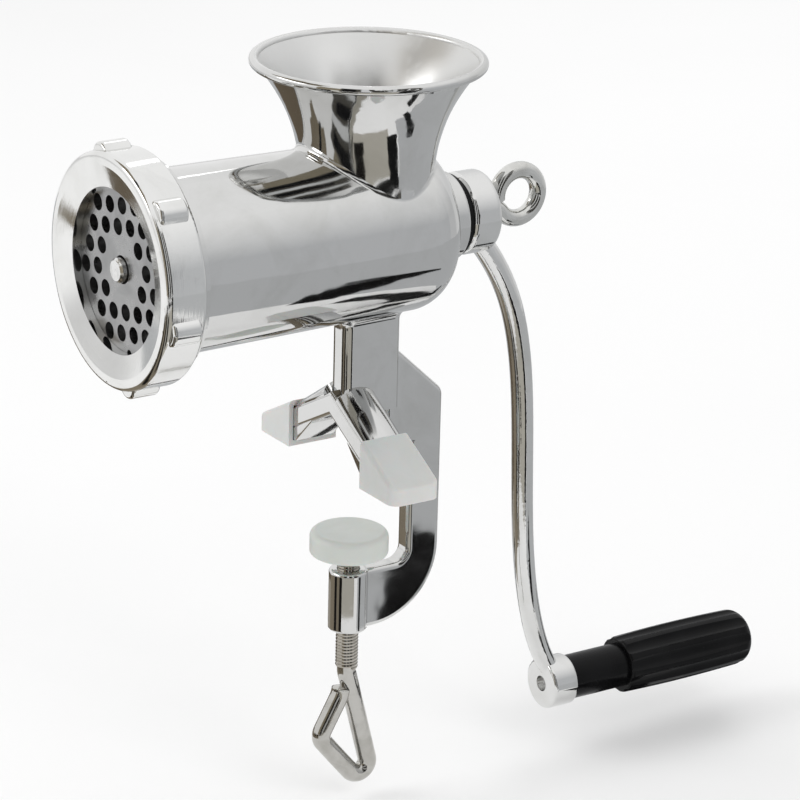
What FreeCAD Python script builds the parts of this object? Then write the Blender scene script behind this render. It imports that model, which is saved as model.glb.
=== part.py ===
"""Hand crank meat grinder with a table clamp, in millimetres.

The origin is on the clamp screw's axis at the table top. +Z is up, the outlet faces -Y and the
crank is behind, at +Y. The crank hangs straight down.
"""
import FreeCAD, Part
import math
import os

Vector = FreeCAD.Vector

# Barrel
AXIS_HEIGHT = 87.2          # barrel axis above the table top
BARREL_REACH = 92.5         # clamp axis forward to the casting's front face
BARREL_BACK = 30.0          # clamp axis back to the rear wall's outer face
BARREL_FRONT_R = 32.5
BARREL_REAR_R = 31.2
BARREL_ROUND = 13.5         # rounding round the rear wall
BORE_R = 27.0
REAR_WALL = 8.0
BOSS_R = 16.2               # bearing boss on the rear wall
BOSS_LENGTH = 8.6
BOSS_BLEND = 0.8
EDGE_ROUND = 1.2            # small rounding on turned edges
SPIGOT_R = 36.0             # front spigot that the ring nut screws on
FLANGE_R = 38.2             # shoulder behind the ring nut
FLANGE_WIDTH = 2.6

# Hopper
HOPPER_Y = 3.8              # hopper axis behind the clamp axis
HOPPER_HEIGHT = 63.0        # rim above the barrel axis
RIM_R = 41.9
RIM_BEAD = 1.7              # radius of the rolled rim
NECK_HALF_WIDTH = 27.0      # neck across the barrel
NECK_HALF_DEPTH = 22.3      # neck along the barrel
NECK_HEIGHT = 8.0           # foot of the hopper inside the barrel, above its axis
HOPPER_WALL = 3.0
HOPPER_FLARE = 2.6          # power of the bell curve: more keeps the flare near the rim
HOPPER_ROUNDING = 1.5       # power with which the oval neck turns round
HOPPER_SECTIONS = 7
HOPPER_BLEND = 2.0

# Column, foot yoke and C arm
COLUMN_THICK = 10.5
COLUMN_FRONT = 6.5          # clamp axis forward to the column's front
COLUMN_BACK = 17.5
COLUMN_EDGE = 3.4
COLUMN_BLEND = 4.5          # flare where the column meets the barrel
YOKE_TOP = 28.5             # ridge height above the table top
YOKE_SLOPE = 0.54           # drop per millimetre outwards
YOKE_THICK = 9.0            # upright thickness of a foot arm
YOKE_WIDTH = 16.4
YOKE_SPREAD = 40.0          # centre plane to the end of a foot arm
YOKE_EDGE = 1.5
YOKE_EDGE_SHARE = 0.4       # the edge rounding at most, over the arm end's thickness
FOOT_Y = -1.5               # middle of the feet along the barrel
CARM_THICK = 7.6
CARM_INNER = 23.0           # clamp axis back to the throat of the C
CARM_OUTER = 36.8
CARM_EDGE = 2.0
GUSSET_TOP = 40.5           # where the gusset leaves the column
GUSSET_END = 22.5           # where the gusset meets the C arm's back
JAW_TOP = 42.0              # table top down to the lower jaw
JAW_DEPTH = 23.0
CARM_OUTER_BEND = 28.0
CARM_INNER_BEND = 5.0
THROAT_TOP = 3.0            # top of the C's throat above the table top
GUSSET_ROUND = 5.0
SCREW_BOSS_R = 7.2
SCREW_BOSS_RISE = 0.6       # boss above the lower jaw

# Foot caps
CAP_INNER = 24.0            # centre plane to the cap's open end
CAP_OUTER = 46.0
CAP_BASE = 2.2              # floor under the foot arm
CAP_WALL = 1.8
CAP_CORNER = 4.0
CAP_EDGE = 1.6
CAP_FIT = 0.1

# Outlet: plate, key pin and ring nut
PLATE_R = 31.0
PLATE_THICK = 5.0
PLATE_SEAT = 3.5            # depth of the seat in the casting's front
PLATE_FIT = 0.25
PLATE_BORE_R = 5.0
PLATE_HOLE_R = 3.0
PLATE_PITCH = 8.6
PLATE_RINGS = 3             # rings of holes round the centre
PLATE_TURN = 10.6           # rows rise towards +X, degrees
KEY_R = 1.3
KEY_RADIUS = 29.4           # key pin's distance from the barrel axis
KEY_DEPTH = 6.0             # key pin sunk into the seat
KEY_PROUD = 3.0
KEY_FIT = 0.35
RING_R = 41.5
RING_OPENING_R = 29.0
RING_LIP = 3.3
RING_LENGTH = 13.2
RING_CROWN = 2.3            # outer front edge ahead of the opening's edge
RING_EDGE = 2.2
RING_LUGS = 6
RING_LUG_R = 5.2
RING_LUG_RISE = 2.8
RING_LUG_TURN = 44.0        # first lug above +X, degrees
RING_SEAT_GAP = 0.1
RING_REAR_GAP = 0.4
THREAD_CLEAR = 0.3

# Drive: auger, stud, knife and bearings
AUGER_CLEAR = 0.8           # flight to bore
AUGER_CORE_FRONT_R = 10.5
AUGER_CORE_REAR_R = 13.0
AUGER_PITCH = 27.0
FLIGHT_START = 4.85         # bare core ahead of the flight
FLIGHT_ROOT = 6.0
FLIGHT_TIP = 3.2
FLIGHT_SINK = 2.0           # flight's root inside the core
COLLAR_R = 17.0
COLLAR_THICK = 6.0
JOURNAL_R = 8.0
SHAFT_SQUARE = 11.0
SHAFT_SHORT = 1.2           # shaft end inside the crank hub
SQUARE_FIT = 0.1
KNIFE_SQUARE = 13.0
KNIFE_THICK = 8.0
KNIFE_R = 26.0
KNIFE_HUB_R = 12.5
KNIFE_WINGS = 4
KNIFE_EDGE_WIDTH = 8.5      # wing on the plate side
KNIFE_BACK_WIDTH = 4.0      # wing on the auger side
KNIFE_GAP = 0.15
STUD_R = 4.4
STUD_SINK = 14.0
STUD_PROUD = 2.6            # stud beyond the plate's front
STUD_DOME = 0.8
PIN_FIT = 0.02
BUSH_WALL = 2.5
BUSH_FLANGE_R = 15.0
BUSH_FLANGE = 1.6
BUSH_FIT = 0.06
THRUST_THICK = 2.0
THRUST_R = 18.0
RUN_GAP = 0.3

# Crank
CRANK_THROW = 194.0
CRANK_SET_BACK = 47.7       # upper hub's front to lower hub's front
HUB_R = 15.0
HUB_LENGTH = 12.8
HUB_ROUND = 2.5
PIN_HUB_R = 9.8
PIN_HUB_LENGTH = 10.9
PIN_HUB_ROUND = 1.2
ARM_TOP_DEPTH = 8.6         # arm section at the top, in the plane of the bend
ARM_TOP_WIDTH = 9.46
ARM_END_DEPTH = 7.4
ARM_END_WIDTH = 8.14
ARM_STATIONS = (            # share of the throw, share of the set back
    (0.02, 0.10), (0.067, 0.28), (0.115, 0.415), (0.19, 0.56), (0.295, 0.665),
    (0.465, 0.725), (0.645, 0.757), (0.81, 0.838), (0.91, 0.95), (0.975, 1.09),
)

# Grip and its axle
COLLAR_NECK_R = 8.5
COLLAR_NECK = 24.4
GRIP_R = 10.9
GRIP_SWELL = 0.5            # swelling at mid length
GRIP_LENGTH = 59.8          # fluted stretch behind the neck
GRIP_END_ROUND = 5.5
GRIP_FLUTES = 10
FLUTE_R = 4.0
FLUTE_DEPTH = 0.9
AXLE_R = 4.0
AXLE_FIT = 0.08
AXLE_THREAD_R = 3.0
AXLE_SHORT = 3.5            # axle end inside the lower hub
AXLE_HEAD_R = 6.0
AXLE_HEAD = 3.5
AXLE_RECESS = 9.0           # depth of the recess in the grip's end
AXLE_WASHER_R = 6.4
AXLE_WASHER = 1.0
GRIP_PLAY = 0.3

# Eye screw
EYE_ROD_R = 3.1
EYE_BEND_R = 9.0            # centreline radius of the eye
EYE_RISE = 3.6              # eye centre above the screw's axis
EYE_NECK_BEND = 5.0
EYE_END = 140.0             # where the rod stops, degrees above +Y
EYE_THREAD_R = 3.0
EYE_THREAD = 10.0
EYE_STAND = 2.9             # straight rod behind the washer
EYE_WASHER_R = 6.5
EYE_WASHER = 1.5
SPOT_MARGIN = 0.8           # flat round the washer on the crank hub

# Clamp
SCREW_R = 4.0
LOOP_ROD_R = 3.5
PAD_TOP = 26.4              # table top down to the pad
PAD_R = 14.4
PAD_THICK = 8.8
PAD_FACE = 2.6              # plastic above the disc's recess
PAD_EDGE = 2.4
DISC_R = 11.5
DISC_THICK = 3.0
DISC_NECK_R = 7.0
TIP_R = 2.6
TIP_HEAD_R = 4.2
TIP_HEAD = 1.4
SCREW_LENGTH = 48.0         # thread below the disc
LOOP_TOP_BEND = 9.0
LOOP_BEND = 4.3
LOOP_LOW = (14.8, 56.0)     # lower corner: back from the axis, below the thread's end
LOOP_FRONT = (-11.2, 24.6)
LOOP_END = (-3.5, 10.8)

# Building
OVER = 1.0                  # how far a cutting tool runs past the face it opens
TOUCH = 1e-4                # distance at which two places count as one

# Places that follow from the sizes
front_y = -BARREL_REACH
seat_y = front_y + PLATE_SEAT
plate_front_y = seat_y - PLATE_THICK
lip_y = plate_front_y - RING_SEAT_GAP
ring_front_y = lip_y - RING_LIP
ring_rear_y = ring_front_y + RING_LENGTH
flange_y = ring_rear_y + RING_REAR_GAP
knife_front_y = seat_y + KNIFE_GAP
auger_front_y = knife_front_y + KNIFE_THICK
bore_rear_y = BARREL_BACK - REAR_WALL
auger_rear_y = bore_rear_y - THRUST_THICK - RUN_GAP
boss_end_y = BARREL_BACK + BOSS_LENGTH
hub_front_y = boss_end_y + BUSH_FLANGE + RUN_GAP
hub_rear_y = hub_front_y + HUB_LENGTH
pin_hub_front_y = hub_front_y + CRANK_SET_BACK
pin_hub_rear_y = pin_hub_front_y + PIN_HUB_LENGTH
grip_front_y = pin_hub_rear_y + GRIP_PLAY
grip_rear_y = grip_front_y + COLLAR_NECK + GRIP_LENGTH
pin_height = AXIS_HEIGHT - CRANK_THROW
bush_r = JOURNAL_R + BUSH_FIT + BUSH_WALL
pad_bottom_z = -PAD_TOP - PAD_THICK
disc_top_z = -PAD_TOP - PAD_FACE - TIP_HEAD - RUN_GAP
disc_bottom_z = disc_top_z - DISC_THICK
screw_top_z = disc_bottom_z - RUN_GAP
screw_end_z = screw_top_z - SCREW_LENGTH
jaw_bottom = JAW_TOP + JAW_DEPTH

BARREL_AXIS = Vector(0, 0, AXIS_HEIGHT)
PIN_AXIS = Vector(0, 0, pin_height)
ALONG_X = Vector(1, 0, 0)
ALONG_Y = Vector(0, 1, 0)
ALONG_Z = Vector(0, 0, 1)


def outline(start, moves, place):
    """Closed face; a move of two numbers draws a line, one of four draws an arc through a point."""
    edges = []
    here = place(*start)
    for move in moves + [start]:
        there = place(*move[-2:])
        if here.distanceToPoint(there) < TOUCH:
            continue
        if len(move) == 4:
            edges.append(Part.Arc(here, place(*move[:2]), there).toShape())
        else:
            edges.append(Part.makeLine(here, there))
        here = there
    return Part.Face(Part.Wire(edges))


def corner(centre_a, centre_b, radius, degrees):
    """Arc point on a rounding: its centre, radius and direction in the outline's plane."""
    angle = math.radians(degrees)
    return (centre_a + radius * math.cos(angle), centre_b + radius * math.sin(angle))


def turned(start, moves, base):
    """Solid turned about an axis along Y through base; the outline is (radius, y)."""
    face = outline(start, moves, lambda r, y: Vector(base.x + r, y, base.z))
    return face.revolve(base, ALONG_Y, 360)


def turned_up(start, moves):
    """Solid turned about the clamp screw's axis; the outline is (radius, z)."""
    face = outline(start, moves, lambda r, z: Vector(r, 0, z))
    return face.revolve(Vector(0, 0, 0), ALONG_Z, 360)


def rod(base, radius, y_start, y_end):
    """Plain cylinder along Y."""
    return Part.makeCylinder(radius, y_end - y_start, Vector(base.x, y_start, base.z), ALONG_Y)


def post(radius, z_low, z_high, y=0.0):
    """Plain upright cylinder."""
    return Part.makeCylinder(radius, z_high - z_low, Vector(0, y, z_low), ALONG_Z)


def square_bar(side, y_start, y_end):
    """Square bar on the barrel axis."""
    low = Vector(-side / 2, y_start, AXIS_HEIGHT - side / 2)
    return Part.makeBox(side, y_end - y_start, side, low)


def seam(solid, first, second):
    """Edges of a fused solid that lie on the skins of both solids it was made from."""
    found = []
    for edge in solid.Edges:
        middle = Part.Vertex(edge.valueAt((edge.FirstParameter + edge.LastParameter) / 2))
        near_first = middle.distToShape(first.Shells[0])[0] < TOUCH
        near_second = middle.distToShape(second.Shells[0])[0] < TOUCH
        if near_first and near_second:
            found.append(edge)
    return found


def barrel_solid():
    """Outside of the barrel with its spigot, shoulder, rounded rear and bearing boss."""
    flange_end_y = flange_y + FLANGE_WIDTH
    round_y = BARREL_BACK - BARREL_ROUND
    round_r = BARREL_REAR_R - BARREL_ROUND
    blend_r = BOSS_R + BOSS_BLEND
    blend_y = BARREL_BACK + BOSS_BLEND
    edge_r = BOSS_R - EDGE_ROUND
    edge_y = boss_end_y - EDGE_ROUND
    moves = [
        (SPIGOT_R - EDGE_ROUND, front_y),
        (SPIGOT_R, front_y + EDGE_ROUND),
        (SPIGOT_R, flange_y),
        (FLANGE_R, flange_y),
        (FLANGE_R, flange_end_y),
        (BARREL_FRONT_R, flange_end_y),
        (BARREL_REAR_R, round_y),
        corner(round_r, round_y, BARREL_ROUND, 45) + (round_r, BARREL_BACK),
        (blend_r, BARREL_BACK),
        corner(blend_r, blend_y, BOSS_BLEND, 225) + (BOSS_R, blend_y),
        (BOSS_R, edge_y),
        corner(edge_r, edge_y, EDGE_ROUND, 45) + (edge_r, boss_end_y),
        (0, boss_end_y),
    ]
    return turned((0, front_y), moves, BARREL_AXIS)


def hopper_loft(wall_low, wall_high):
    """Bell that turns from an oval neck to a round rim, drawn in by a wall that may taper."""
    rise = HOPPER_HEIGHT - RIM_BEAD - NECK_HEIGHT
    mouth_r = RIM_R - RIM_BEAD
    sections = []
    for step in range(HOPPER_SECTIONS):
        share = step / (HOPPER_SECTIONS - 1)
        wall = wall_low + (wall_high - wall_low) * share
        depth = NECK_HALF_DEPTH + (mouth_r - NECK_HALF_DEPTH) * share ** HOPPER_FLARE
        oval = (NECK_HALF_WIDTH - NECK_HALF_DEPTH) * (1 - share) ** HOPPER_ROUNDING
        centre = Vector(0, HOPPER_Y, AXIS_HEIGHT + NECK_HEIGHT + rise * share)
        across = centre + ALONG_X * (depth + oval - wall)
        along = centre + ALONG_Y * (depth - wall)
        sections.append(Part.Wire(Part.Ellipse(across, along, centre).toShape()))
    return Part.makeLoft(sections, True)


def hopper_rim():
    """Rolled rim of the hopper."""
    rim_z = AXIS_HEIGHT + HOPPER_HEIGHT - RIM_BEAD
    return Part.makeTorus(RIM_R - RIM_BEAD, RIM_BEAD, Vector(0, HOPPER_Y, rim_z), ALONG_Z)


def hopper_mouth():
    """Straight way through the rolled rim."""
    rim_z = AXIS_HEIGHT + HOPPER_HEIGHT - RIM_BEAD
    return post(RIM_R - 2 * RIM_BEAD, rim_z, rim_z + 2 * RIM_BEAD, HOPPER_Y)


def column_solid():
    """Upright column with rounded edges, from inside the barrel wall to the yoke."""
    half = COLUMN_THICK / 2
    low = Vector(-half, -COLUMN_FRONT, YOKE_TOP - YOKE_THICK)
    top_z = AXIS_HEIGHT - (BORE_R + BARREL_REAR_R) / 2
    block = Part.makeBox(COLUMN_THICK, COLUMN_FRONT + COLUMN_BACK, top_z - low.z, low)
    upright = [e for e in block.Edges if e.BoundBox.ZLength > TOUCH]
    return block.makeFillet(COLUMN_EDGE, upright)


def yoke_block(grow):
    """Two foot arms that slope down to the sides, grown all round by a clearance."""
    end_x = YOKE_SPREAD + grow
    top_z = YOKE_TOP + grow
    low_z = YOKE_TOP - YOKE_THICK - grow
    flat_z = CAP_BASE - grow
    flat_x = (low_z - flat_z) / YOKE_SLOPE
    end_z = top_z - YOKE_SLOPE * end_x
    moves = [
        (end_x, end_z), (end_x, flat_z), (flat_x, flat_z), (0, low_z),
        (-flat_x, flat_z), (-end_x, flat_z), (-end_x, end_z),
    ]
    start_y = FOOT_Y - YOKE_WIDTH / 2 - grow
    face = outline((0, top_z), moves, lambda x, z: Vector(x, start_y, z))
    return face.extrude(Vector(0, YOKE_WIDTH + 2 * grow, 0))


def yoke_solid():
    """Foot arms with their long edges rounded."""
    block = yoke_block(0.0)
    long_edges = [e for e in block.Edges if e.BoundBox.XLength > TOUCH]
    end_thick = YOKE_TOP - YOKE_SLOPE * YOKE_SPREAD - CAP_BASE
    return block.makeFillet(min(YOKE_EDGE, YOKE_EDGE_SHARE * end_thick), long_edges)


def c_arm_solid():
    """Flat C arm from the column's back round to the clamp screw's boss, edges rounded."""
    bend_y = CARM_OUTER - CARM_OUTER_BEND
    bend_z = -jaw_bottom + CARM_OUTER_BEND
    throat_y = CARM_INNER - CARM_INNER_BEND
    throat_z = -JAW_TOP + CARM_INNER_BEND
    slope = math.atan2(GUSSET_TOP - GUSSET_END, CARM_OUTER - COLUMN_BACK)
    turn = math.pi / 2 - slope
    back = GUSSET_ROUND * math.tan(turn / 2)
    before = (CARM_OUTER - back * math.cos(slope), GUSSET_END + back * math.sin(slope))
    after = (CARM_OUTER, GUSSET_END - back)
    centre = (CARM_OUTER - GUSSET_ROUND, GUSSET_END - back)
    middle = corner(centre[0], centre[1], GUSSET_ROUND, math.degrees(turn) / 2)
    inside_y = COLUMN_BACK - COLUMN_EDGE - CARM_EDGE
    inside_z = GUSSET_TOP + (COLUMN_BACK - inside_y) * math.tan(slope)
    moves = [
        before,
        middle + after,
        (CARM_OUTER, bend_z),
        corner(bend_y, bend_z, CARM_OUTER_BEND, -45) + (bend_y, -jaw_bottom),
        (0, -jaw_bottom),
        (0, -JAW_TOP),
        (throat_y, -JAW_TOP),
        corner(throat_y, throat_z, CARM_INNER_BEND, -45) + (CARM_INNER, throat_z),
        (CARM_INNER, THROAT_TOP),
        (inside_y, THROAT_TOP),
    ]
    half = CARM_THICK / 2
    face = outline((inside_y, inside_z), moves, lambda y, z: Vector(-half, y, z))
    plate = face.extrude(Vector(CARM_THICK, 0, 0))
    rims = [e for e in plate.Edges if abs(abs(e.CenterOfMass.x) - half) < TOUCH]
    return plate.makeFillet(CARM_EDGE, rims)


def body_casting():
    """Barrel, hopper, column, foot yoke, C arm and screw boss as one hollow casting."""
    barrel = barrel_solid()
    hopper = hopper_loft(0.0, 0.0)
    body = barrel.fuse(hopper)
    body = body.makeFillet(HOPPER_BLEND, seam(body, barrel, hopper))
    column = column_solid()
    stem = body.fuse(column)
    body = stem.makeFillet(COLUMN_BLEND, seam(stem, body, column))
    boss = post(SCREW_BOSS_R, -jaw_bottom, SCREW_BOSS_RISE - JAW_TOP)
    boss = boss.makeFillet(EDGE_ROUND, [e for e in boss.Edges if len(e.Vertexes) == 1])
    body = body.fuse([hopper_rim(), yoke_solid(), c_arm_solid(), boss])
    seat = rod(BARREL_AXIS, PLATE_R + PLATE_FIT, front_y - OVER, seat_y)
    bore = rod(BARREL_AXIS, BORE_R, front_y - OVER, bore_rear_y)
    bearing = rod(BARREL_AXIS, bush_r + PIN_FIT, bore_rear_y - OVER, boss_end_y + OVER)
    key_hole = key_cylinder(KEY_R + PIN_FIT, seat_y - OVER, seat_y + KEY_DEPTH)
    screw_hole = post(SCREW_R + THREAD_CLEAR, -jaw_bottom - OVER, OVER + SCREW_BOSS_RISE - JAW_TOP)
    inside = hopper_loft(HOPPER_WALL, RIM_BEAD)
    return body.cut([seat, bore, inside, hopper_mouth(), bearing, key_hole, screw_hole])


def key_cylinder(radius, y_start, y_end):
    """Cylinder at the key pin's place, between two rows of holes at the plate's foot."""
    angle = math.radians(PLATE_TURN - 90)
    place = Vector(KEY_RADIUS * math.cos(angle), 0, AXIS_HEIGHT + KEY_RADIUS * math.sin(angle))
    return rod(place, radius, y_start, y_end)


def plate_key_pin():
    """Pin in the seat that stops the plate turning."""
    return key_cylinder(KEY_R, seat_y - KEY_PROUD, seat_y + KEY_DEPTH - RUN_GAP)


def rear_bush():
    """Flanged plain bearing in the rear boss."""
    hole_r = JOURNAL_R + BUSH_FIT
    moves = [
        (bush_r, bore_rear_y), (bush_r, boss_end_y), (BUSH_FLANGE_R, boss_end_y),
        (BUSH_FLANGE_R, boss_end_y + BUSH_FLANGE), (hole_r, boss_end_y + BUSH_FLANGE),
    ]
    return turned((hole_r, bore_rear_y), moves, BARREL_AXIS)


def thrust_washer():
    """Ring between the auger's collar and the rear wall."""
    outer = rod(BARREL_AXIS, THRUST_R, bore_rear_y - THRUST_THICK, bore_rear_y)
    return outer.cut(rod(BARREL_AXIS, JOURNAL_R + RUN_GAP, bore_rear_y - THRUST_THICK, bore_rear_y))


def cap_space():
    """Hollow of both caps: round the foot arms and straight down to the caps' floors."""
    arms = yoke_block(CAP_FIT)
    end_x = YOKE_SPREAD + CAP_FIT
    start_y = FOOT_Y - YOKE_WIDTH / 2 - CAP_FIT
    corner_low = Vector(-end_x, start_y, CAP_BASE - CAP_FIT)
    under = YOKE_TOP - YOKE_SLOPE * end_x - CAP_BASE
    return arms.fuse(Part.makeBox(2 * end_x, YOKE_WIDTH + 2 * CAP_FIT, under, corner_low))


def foot_cap(side):
    """Boot over the end of one foot arm; side is +1 or -1."""
    rise = CAP_WALL * math.hypot(1, YOKE_SLOPE)
    top_inner = YOKE_TOP + rise - YOKE_SLOPE * CAP_INNER
    top_outer = YOKE_TOP + rise - YOKE_SLOPE * CAP_OUTER
    width = YOKE_WIDTH + 2 * (CAP_FIT + CAP_WALL)
    start_y = FOOT_Y - width / 2
    moves = [(CAP_OUTER, 0), (CAP_OUTER, top_outer), (CAP_INNER, top_inner)]
    face = outline((CAP_INNER, 0), moves, lambda x, z: Vector(side * x, start_y, z))
    block = face.extrude(Vector(0, width, 0))
    outer = [e for e in block.Edges if abs(e.CenterOfMass.x) > CAP_OUTER - TOUCH]
    block = block.makeFillet(CAP_CORNER, [e for e in outer if e.BoundBox.ZLength > TOUCH])
    upper = [e for e in block.Edges if e.BoundBox.ZMin > top_outer - TOUCH]
    block = block.makeFillet(CAP_EDGE, [e for e in upper if e.BoundBox.XLength > TOUCH])
    return block.cut(cap_space())


def grinding_plate():
    """Perforated plate: rings of holes on a hexagonal grid, a centre bore and a key notch."""
    plate = rod(BARREL_AXIS, PLATE_R, plate_front_y, seat_y)
    turn = math.radians(PLATE_TURN)
    cuts = [rod(BARREL_AXIS, PLATE_BORE_R, plate_front_y - OVER, seat_y + OVER)]
    for row in range(-PLATE_RINGS, PLATE_RINGS + 1):
        for column in range(-PLATE_RINGS, PLATE_RINGS + 1):
            ring = max(abs(row), abs(column), abs(row + column))
            if ring < 2 or ring > PLATE_RINGS:
                continue
            along = PLATE_PITCH * (column + row / 2)
            across = PLATE_PITCH * row * math.sqrt(3) / 2
            x = along * math.cos(turn) - across * math.sin(turn)
            z = AXIS_HEIGHT + along * math.sin(turn) + across * math.cos(turn)
            cuts.append(rod(Vector(x, 0, z), PLATE_HOLE_R, plate_front_y - OVER, seat_y + OVER))
    notch_r = KEY_R + KEY_FIT
    cuts.append(key_cylinder(notch_r, plate_front_y - OVER, seat_y + OVER))
    depth = PLATE_R + OVER - KEY_RADIUS
    low = Vector(KEY_RADIUS, plate_front_y - OVER, AXIS_HEIGHT - notch_r)
    slot = Part.makeBox(depth, PLATE_THICK + 2 * OVER, 2 * notch_r, low)
    slot.rotate(BARREL_AXIS, ALONG_Y, 90 - PLATE_TURN)
    return plate.cut(cuts + [slot])


def ring_nut():
    """Ring nut with a dished face, an inner lip over the plate and lugs round the outside."""
    crown_y = ring_front_y - RING_CROWN
    edge_r = RING_R - RING_EDGE
    edge_y = crown_y + RING_EDGE
    thread_r = SPIGOT_R + THREAD_CLEAR
    rear_edge_y = ring_rear_y - EDGE_ROUND
    rear_edge_r = RING_R - EDGE_ROUND
    moves = [
        (edge_r - RING_EDGE, crown_y),
        (edge_r, crown_y),
        corner(edge_r, edge_y, RING_EDGE, -45) + (RING_R, edge_y),
        (RING_R, rear_edge_y),
        corner(rear_edge_r, rear_edge_y, EDGE_ROUND, 45) + (rear_edge_r, ring_rear_y),
        (thread_r, ring_rear_y),
        (thread_r, lip_y),
        (RING_OPENING_R, lip_y),
    ]
    ring = turned((RING_OPENING_R, ring_front_y), moves, BARREL_AXIS)
    lug_centre_r = RING_R + RING_LUG_RISE - RING_LUG_R
    lugs = []
    for index in range(RING_LUGS):
        angle = math.radians(RING_LUG_TURN + index * 360.0 / RING_LUGS)
        x = lug_centre_r * math.cos(angle)
        z = AXIS_HEIGHT + lug_centre_r * math.sin(angle)
        lug = rod(Vector(x, 0, z), RING_LUG_R, edge_y, rear_edge_y - EDGE_ROUND)
        lug = lug.makeFillet(EDGE_ROUND, [e for e in lug.Edges if len(e.Vertexes) == 1])
        lugs.append(lug.cut(rod(BARREL_AXIS, (thread_r + RING_R) / 2, crown_y, ring_rear_y)))
    return ring.fuse(lugs)


def auger_flight(length):
    """Left hand helical flight, standing on the XY plane with its axis along Z."""
    height = length - COLLAR_THICK - FLIGHT_ROOT - FLIGHT_START
    start = FLIGHT_START + FLIGHT_ROOT / 2
    inner_r = AUGER_CORE_FRONT_R - FLIGHT_SINK
    outer_r = BORE_R - AUGER_CLEAR
    spine = Part.makeHelix(AUGER_PITCH, height, outer_r)
    corners = [
        Vector(inner_r, 0, -FLIGHT_ROOT / 2), Vector(outer_r, 0, -FLIGHT_TIP / 2),
        Vector(outer_r, 0, FLIGHT_TIP / 2), Vector(inner_r, 0, FLIGHT_ROOT / 2),
    ]
    profile = Part.makePolygon(corners + corners[:1])
    shell = Part.BRepOffsetAPI.MakePipeShell(Part.Wire(spine.Edges))
    shell.setFrenetMode(True)
    shell.add(profile)
    shell.build()
    shell.makeSolid()
    flight = shell.shape().mirror(Vector(0, 0, 0), ALONG_X)
    flight.translate(Vector(0, 0, start))
    return flight


def auger():
    """Worm: tapered core with a helical flight, collar, journal, square ends and a threaded end."""
    length = auger_rear_y - auger_front_y
    flight = auger_flight(length)
    flight.rotate(Vector(0, 0, 0), ALONG_X, -90)
    flight.translate(Vector(0, auger_front_y, AXIS_HEIGHT))
    collar_y = auger_rear_y - COLLAR_THICK
    journal_end_y = hub_front_y - RUN_GAP / 2
    moves = [
        (AUGER_CORE_FRONT_R, auger_front_y),
        (AUGER_CORE_REAR_R, collar_y),
        (COLLAR_R, collar_y),
        (COLLAR_R, auger_rear_y),
        (JOURNAL_R, auger_rear_y),
        (JOURNAL_R, journal_end_y),
        (0, journal_end_y),
    ]
    worm = turned((0, auger_front_y), moves, BARREL_AXIS)
    rear_square = square_bar(SHAFT_SQUARE, journal_end_y, hub_rear_y - SHAFT_SHORT)
    front_square = square_bar(KNIFE_SQUARE, knife_front_y + EDGE_ROUND, auger_front_y)
    worm = worm.fuse([flight, rear_square, front_square])
    stud_hole = rod(BARREL_AXIS, STUD_R + PIN_FIT, knife_front_y, auger_front_y + STUD_SINK)
    eye_hole_y = hub_rear_y - EYE_THREAD - EYE_STAND
    eye_hole = rod(BARREL_AXIS, EYE_THREAD_R + THREAD_CLEAR, eye_hole_y, hub_rear_y)
    return worm.cut([stud_hole, eye_hole])


def auger_stud():
    """Pin in the auger's front end that carries the plate's centre."""
    end_y = plate_front_y - STUD_PROUD
    moves = [
        (STUD_R - STUD_DOME, end_y), (STUD_R, end_y + STUD_DOME),
        (STUD_R, auger_front_y + STUD_SINK), (0, auger_front_y + STUD_SINK),
    ]
    return turned((0, end_y), moves, BARREL_AXIS)


def knife():
    """Four wing cutter: each wing is sharp on the plate side and swept back behind."""
    rear_y = auger_front_y
    lead = KNIFE_EDGE_WIDTH / 2
    trail_rear = lead - KNIFE_BACK_WIDTH
    wings = []
    for index in range(KNIFE_WINGS):
        corners = [
            (-lead, knife_front_y), (lead, knife_front_y), (lead, rear_y), (trail_rear, rear_y),
        ]
        face = outline(corners[0], corners[1:], lambda x, y: Vector(x, y, AXIS_HEIGHT))
        wing = face.extrude(Vector(0, 0, KNIFE_R))
        wing.rotate(BARREL_AXIS, ALONG_Y, index * 360.0 / KNIFE_WINGS)
        wings.append(wing)
    star = rod(BARREL_AXIS, KNIFE_HUB_R, knife_front_y, rear_y).fuse(wings)
    star = star.common(rod(BARREL_AXIS, KNIFE_R, knife_front_y, rear_y))
    side = KNIFE_SQUARE + 2 * SQUARE_FIT
    return star.cut(square_bar(side, knife_front_y - OVER, rear_y + OVER))


def arm_solid():
    """Crank arm: oval sections lofted along a curve that sweeps back from hub to grip."""
    path = [
        Vector(0, hub_front_y + back * CRANK_SET_BACK, AXIS_HEIGHT - drop * CRANK_THROW)
        for drop, back in ARM_STATIONS
    ]
    last = len(path) - 1
    sections = []
    for index, centre in enumerate(path):
        along = path[min(index + 1, last)] - path[max(index - 1, 0)]
        across = along.cross(ALONG_X).normalize()
        share = index / last
        depth = ARM_TOP_DEPTH + (ARM_END_DEPTH - ARM_TOP_DEPTH) * share
        width = ARM_TOP_WIDTH + (ARM_END_WIDTH - ARM_TOP_WIDTH) * share
        side = centre + ALONG_X * (width / 2)
        oval = Part.Ellipse(side, centre + across * (depth / 2), centre)
        sections.append(Part.Wire(oval.toShape()))
    return Part.makeLoft(sections, True)


def hub_solid(base, radius, rounding, y_start, y_end):
    """Hub turned along Y with both rims rounded."""
    rim_r = radius - rounding
    moves = [
        (rim_r, y_start),
        corner(rim_r, y_start + rounding, rounding, -45) + (radius, y_start + rounding),
        (radius, y_end - rounding),
        corner(rim_r, y_end - rounding, rounding, 45) + (rim_r, y_end),
        (0, y_end),
    ]
    return turned((0, y_start), moves, base)


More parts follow.
